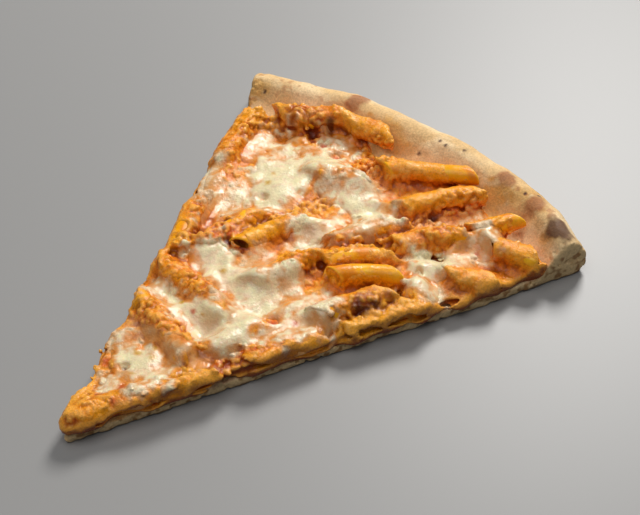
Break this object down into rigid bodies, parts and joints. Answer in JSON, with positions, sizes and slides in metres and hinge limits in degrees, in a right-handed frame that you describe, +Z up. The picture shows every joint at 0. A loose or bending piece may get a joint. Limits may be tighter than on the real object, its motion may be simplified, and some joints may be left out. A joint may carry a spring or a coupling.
{
  "type": "slice of penne vodka pizza",
  "caption": "Wedge of baked thin-crust pizza with a puffed, blistered rim, topped with penne tubes in creamy tomato sauce and melted mozzarella.",
  "frame": {"origin": "on the flat underside, on the middle line of the wedge and 116 mm from its tip", "axes": "+X from the tip to the rim, +Y to the left-hand cut, +Z up out of the toppings"},
  "size_m": [0.2308, 0.1889, 0.0203],
  "materials": {
    "crust": "baked dough, matt, browned on the rim with a few burnt blisters",
    "sauce": "thick creamy tomato sauce, moist and lumpy",
    "penne": "smooth boiled pasta coated with sauce",
    "mozzarella": "melted cheese, glossy and slightly translucent"
  },
  "bodies": {
    "root": {"crust": "crust", "sauce": "sauce", "mozzarella_back": "mozzarella", "mozzarella_left": "mozzarella", "mozzarella_centre": "mozzarella", "mozzarella_middle": "mozzarella", "mozzarella_drape": "mozzarella", "mozzarella_strip": "mozzarella", "mozzarella_front": "mozzarella", "mozzarella_right": "mozzarella", "penne_rim_long": "penne", "penne_rim_second": "penne", "penne_rim_third": "penne", "penne_rim_fourth": "penne", "penne_rim_left": "penne", "penne_rim_upper": "penne", "penne_rim_middle": "penne", "penne_edge_open": "penne", "penne_edge_short": "penne", "penne_centre_yellow": "penne", "penne_centre_behind": "penne", "penne_near_hollow": "penne", "penne_near_hanging": "penne", "penne_middle_mouth": "penne", "penne_middle_right": "penne", "penne_left_mouth": "penne", "penne_left_edge": "penne", "penne_left_inner": "penne", "penne_left_upper": "penne", "penne_ridge_far": "penne", "penne_ridge_near": "penne", "penne_tip": "penne", "penne_front_cut": "penne", "penne_near_front": "penne", "penne_near_side": "penne", "penne_near_back": "penne"}
  },
  "joints": []
}
